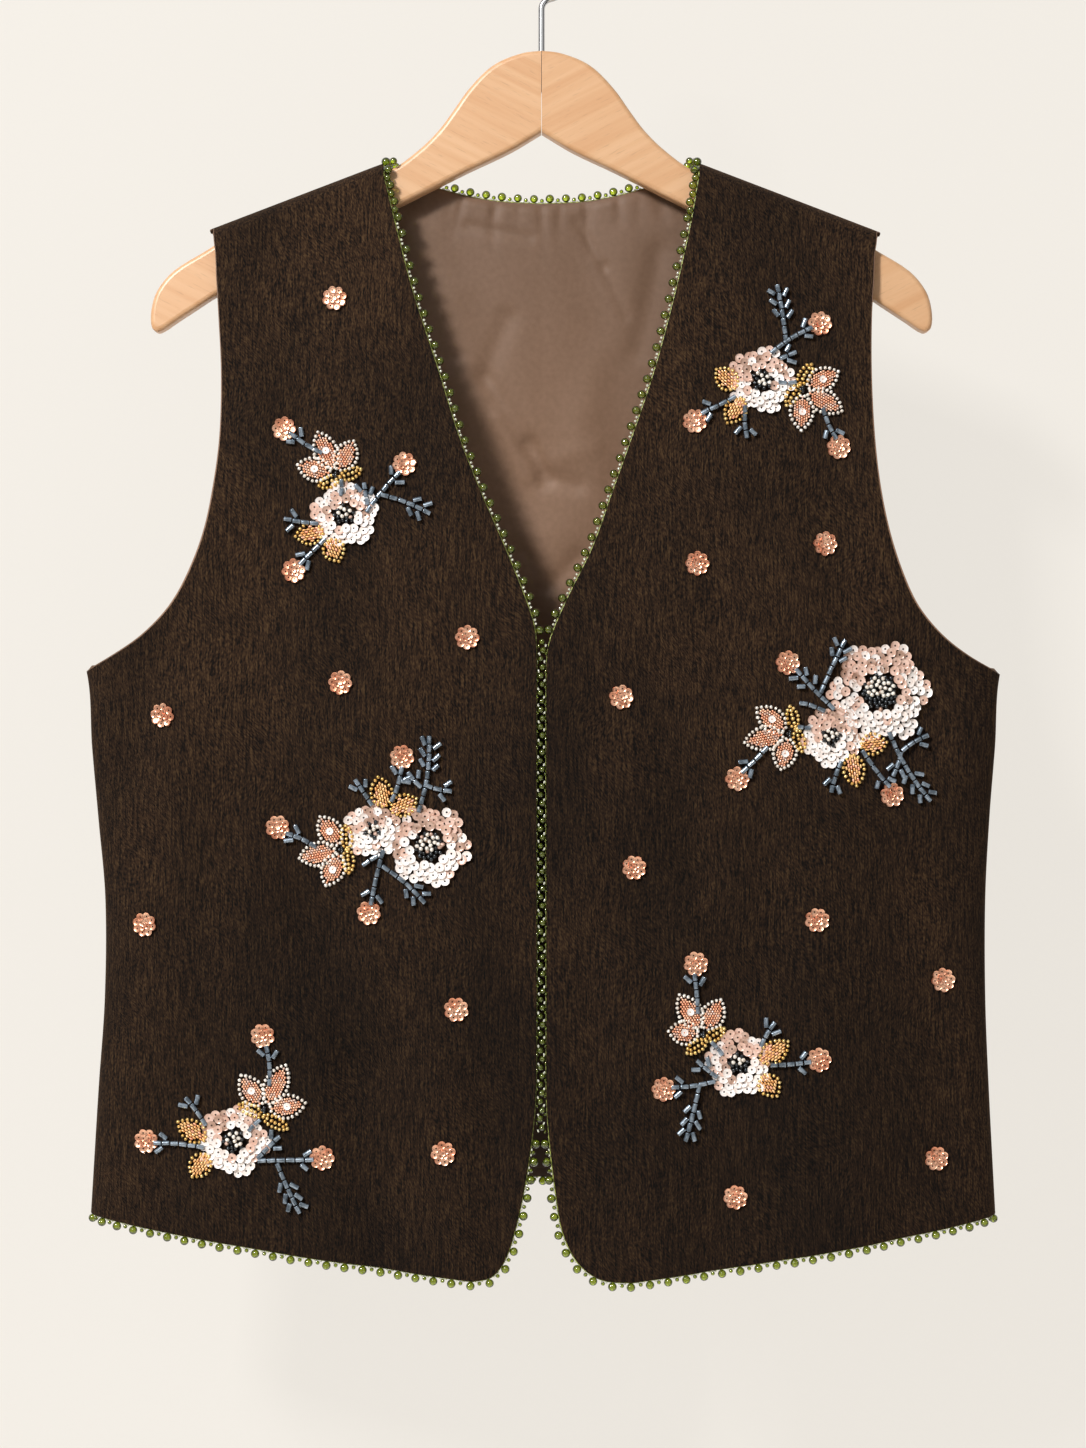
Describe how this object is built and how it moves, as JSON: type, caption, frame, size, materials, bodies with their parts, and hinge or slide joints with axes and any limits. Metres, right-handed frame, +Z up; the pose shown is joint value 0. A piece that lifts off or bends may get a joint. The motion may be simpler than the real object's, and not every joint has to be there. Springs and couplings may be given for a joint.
{
  "type": "embroidered waistcoat on a coat hanger",
  "caption": "Sleeveless V-neck waistcoat of dark brown chenille with raised beaded flower sprays and green beaded edges, hanging on a beech hanger with a wire hook.",
  "frame": {"origin": "inside of the hook's top, where the hook rests on a rail", "axes": "+Z up, the garment's front faces -Y, +X is the wearer's left"},
  "size_m": [0.513, 0.0722, 0.7632],
  "materials": {
    "brown_chenille": "matt slubbed chenille with a soft nap",
    "taupe_satin": "soft satin lining",
    "green_glass_beads": "glossy pressed glass",
    "sequin_and_bead_work": "pearly sequins, seed beads and bugle beads sewn close together",
    "copper_sequins": "rose copper metallised film",
    "beech": "clear satin lacquer",
    "chrome_wire": "polished plating"
  },
  "bodies": {
    "root": {"back": "brown_chenille", "back_lining": "taupe_satin", "centre_front_beads": "green_glass_beads", "floret_left_1": "copper_sequins", "floret_left_2": "copper_sequins", "floret_left_3": "copper_sequins", "floret_left_4": "copper_sequins", "floret_left_5": "copper_sequins", "floret_left_6": "copper_sequins", "floret_left_7": "copper_sequins", "floret_left_8": "copper_sequins", "floret_right_1": "copper_sequins", "floret_right_2": "copper_sequins", "floret_right_3": "copper_sequins", "floret_right_4": "copper_sequins", "floret_right_5": "copper_sequins", "floret_right_6": "copper_sequins", "floret_right_7": "copper_sequins", "front_left": "brown_chenille", "front_right": "brown_chenille", "hanger_arm_left": "beech", "hanger_arm_right": "beech", "hanger_hook": "chrome_wire", "hem_beads_back": "green_glass_beads", "hem_beads_left": "green_glass_beads", "hem_beads_right": "green_glass_beads", "neck_beads_back": "green_glass_beads", "neck_beads_left": "green_glass_beads", "neck_beads_right": "green_glass_beads", "spray_left_chest": "sequin_and_bead_work", "spray_left_hem": "sequin_and_bead_work", "spray_left_waist": "sequin_and_bead_work", "spray_right_chest": "sequin_and_bead_work", "spray_right_hem": "sequin_and_bead_work", "spray_right_waist": "sequin_and_bead_work"}
  },
  "joints": []
}
